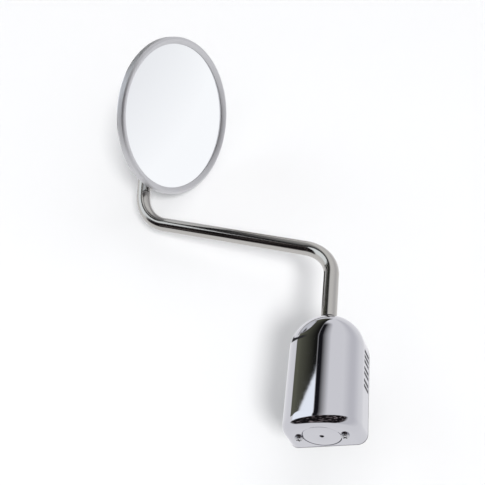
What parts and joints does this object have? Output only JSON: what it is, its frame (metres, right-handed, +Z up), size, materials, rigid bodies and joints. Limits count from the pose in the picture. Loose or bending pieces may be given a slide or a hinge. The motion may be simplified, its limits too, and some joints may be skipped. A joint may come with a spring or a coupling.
{
  "type": "vehicle exterior round mirror",
  "caption": "Round convex exterior mirror tilting on a clamped knuckle, on a cranked tube arm that swivels in a domed chromed wall base.",
  "frame": {"origin": "centre of the base's flat mounting face, which is also the centre of its four fixing holes", "axes": "+Y into the panel that the base is fixed to, +Z up along the arm's pivot; the arm runs towards -X and the mirror faces +X and downwards"},
  "size_m": [0.2706, 0.2035, 0.4741],
  "materials": {
    "cover_chrome": "bright chrome plate",
    "tube_steel": "polished stainless steel tube",
    "shell_steel": "polished stainless steel pressing",
    "rim_metal": "satin",
    "mirror_glass": "convex silvered glass",
    "clamp_steel": "zinc-plated, satin",
    "plain_steel": "plain",
    "screw_steel": "bright zinc",
    "brass": "turned",
    "rubber": "matt",
    "black_plastic": "moulded",
    "bush_plastic": "moulded acetal",
    "foam": "closed-cell foam",
    "board": "pressed board",
    "fibre": "vulcanised fibre"
  },
  "bodies": {
    "base": {"base_gasket": "rubber", "mount_plate": "plain_steel", "pivot_bracket": "plain_steel", "web_rivets": "plain_steel", "base_cover": "cover_chrome", "upper_bush": "bush_plastic", "lower_bush": "bush_plastic", "friction_ring": "brass", "tube_seal": "rubber", "end_disc": "cover_chrome", "foot_screws": "screw_steel"},
    "arm": {"arm_tube": "tube_steel", "tube_end_cap": "black_plastic", "arm_collar": "plain_steel", "cross_pin": "plain_steel", "spindle_plug": "plain_steel", "thrust_washer": "plain_steel", "disc_springs": "plain_steel", "lock_nut": "screw_steel"},
    "clamp": {"clamp_saddle": "clamp_steel", "clamp_cap": "clamp_steel", "clamp_liner": "black_plastic", "clamp_screws": "screw_steel", "clamp_nuts": "screw_steel"},
    "head": {"mirror_glass": "mirror_glass", "foam_pad": "foam", "backing_plate": "board", "glass_seal": "rubber", "rim_bezel": "rim_metal", "back_shell": "shell_steel", "stiffener_plate": "plain_steel", "head_rivets": "screw_steel", "head_bracket": "clamp_steel", "tilt_washers": "fibre", "tilt_bolt": "screw_steel", "tilt_nut": "screw_steel"}
  },
  "joints": [
    {"name": "arm_swivel", "type": "hinge", "parent": "base", "child": "arm", "pos_m": [0, -0.02, 0], "axis": [0, 0, 1], "range_deg": [-5, 135]},
    {"name": "clamp_turn", "type": "hinge", "parent": "arm", "child": "clamp", "pos_m": [-0.2182, -0.10695, 0.33587], "axis": [0.077, -0.3965, 0.9148], "continuous": true},
    {"name": "head_tilt", "type": "hinge", "parent": "clamp", "child": "head", "pos_m": [-0.2012, -0.10932, 0.33341], "axis": [-0.1813, -0.9078, -0.3782], "range_deg": [0, 35]}
  ]
}
